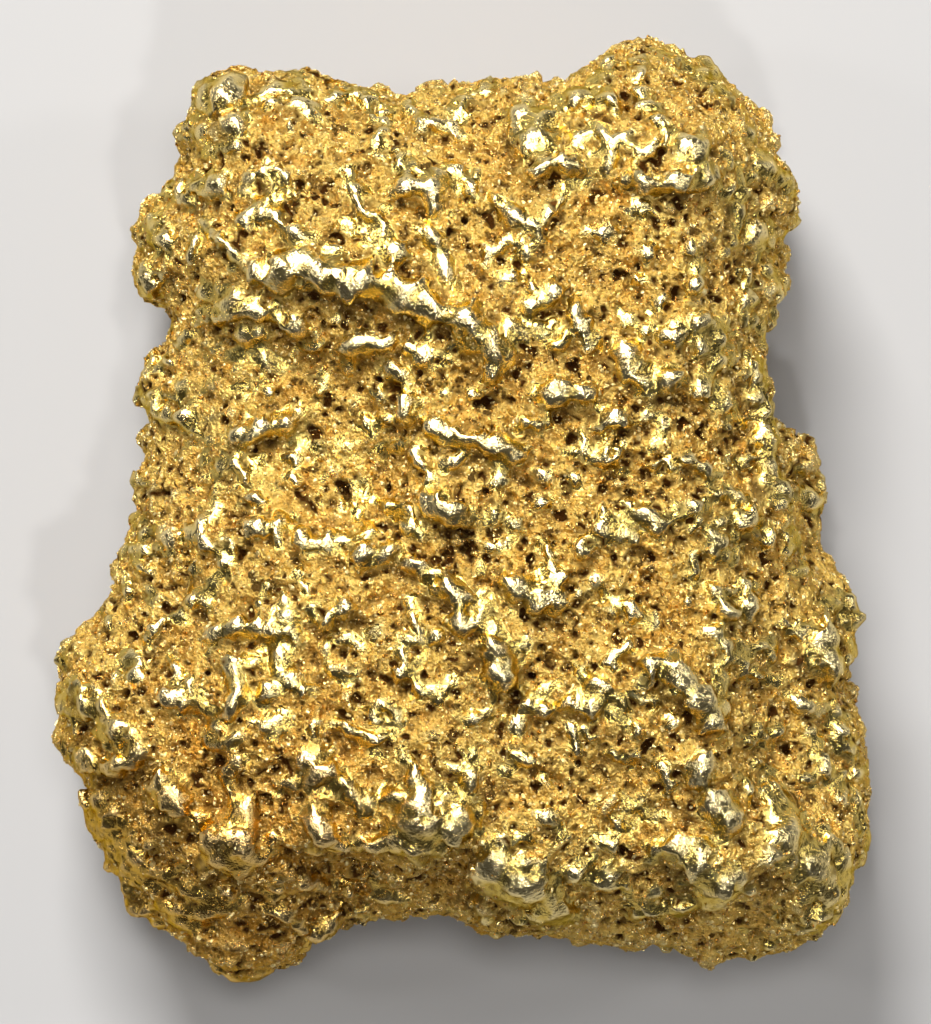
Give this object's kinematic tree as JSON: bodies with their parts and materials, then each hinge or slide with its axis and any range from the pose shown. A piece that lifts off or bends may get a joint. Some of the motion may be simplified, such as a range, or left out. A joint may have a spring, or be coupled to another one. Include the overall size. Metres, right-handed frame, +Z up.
{
  "type": "gold nugget",
  "caption": "Native gold nugget, roughly rectangular and flattened, with worn crests over a pitted sponge-like ground, lying on its back.",
  "frame": {"origin": "middle of the bounding box in plan, at the level of the worn flats that it rests on", "axes": "+X to the nugget's right and +Y towards its top end as seen from the front, +Z out of the front; it lies on its back, so +Z is up"},
  "size_m": [0.0208, 0.0238, 0.0098],
  "materials": {
    "native_gold": "worn native gold: polished yellow crests over a rough granular ground, darker brown in the pits"
  },
  "bodies": {
    "root": {"nugget": "native_gold"}
  },
  "joints": []
}
